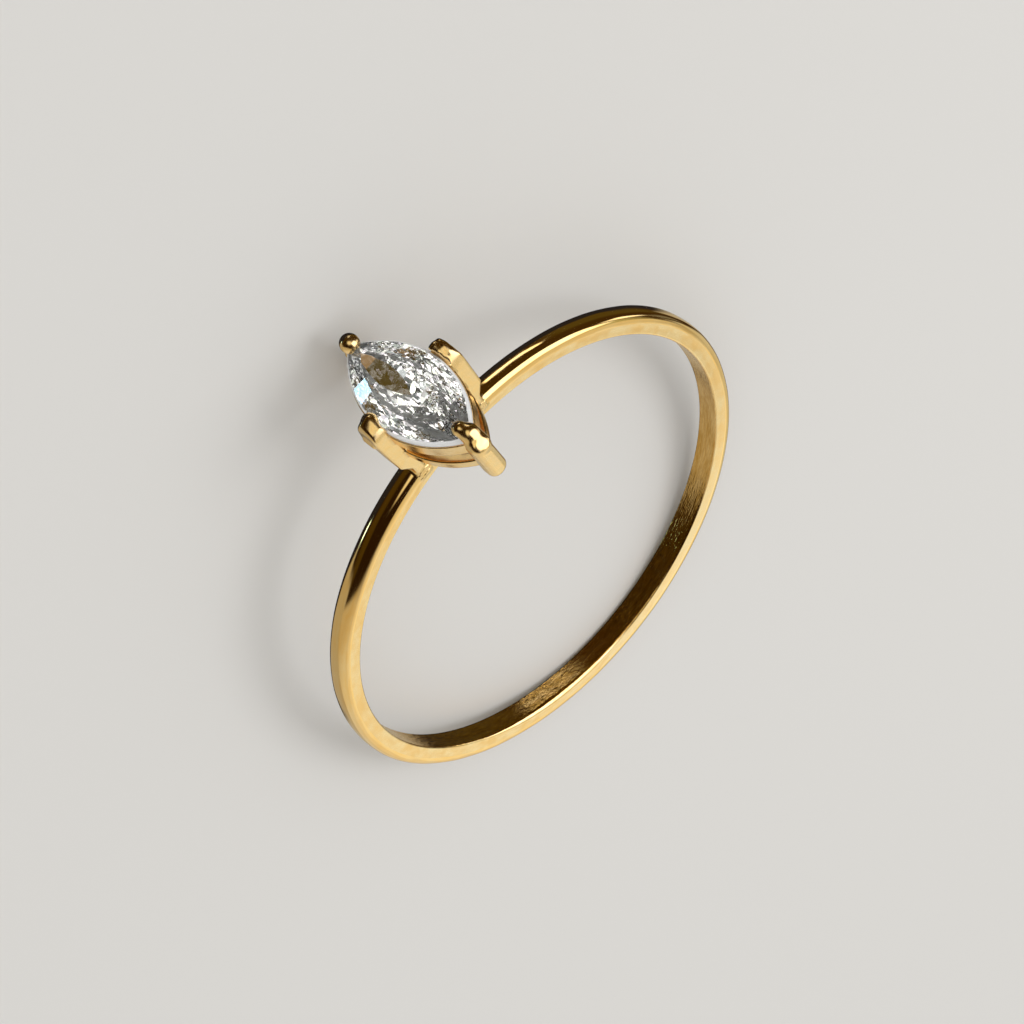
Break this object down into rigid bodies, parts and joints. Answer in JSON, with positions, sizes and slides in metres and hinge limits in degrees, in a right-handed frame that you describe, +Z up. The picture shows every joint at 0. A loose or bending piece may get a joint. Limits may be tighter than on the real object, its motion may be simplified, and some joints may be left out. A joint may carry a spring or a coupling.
{
  "type": "rhinestone ring",
  "caption": "Thin gold-coloured finger ring with a pointed oval clear stone held high above the band by claws in an open basket.",
  "frame": {"origin": "middle of the bounding box, on the floor that the ring lies on", "axes": "+Z up from the floor, -Y towards the stone, X across the ring. The finger hole's axis leans 9.2 degrees from +Z towards +Y, because the ring lies on its side on one claw's end"},
  "size_m": [0.0186, 0.0224, 0.0073],
  "materials": {
    "gold": "polished and gold plated, finely brushed inside the band",
    "stone": "clear, faceted and polished"
  },
  "bodies": {
    "root": {"ring_metal": "gold", "marquise_stone": "stone"}
  },
  "joints": []
}
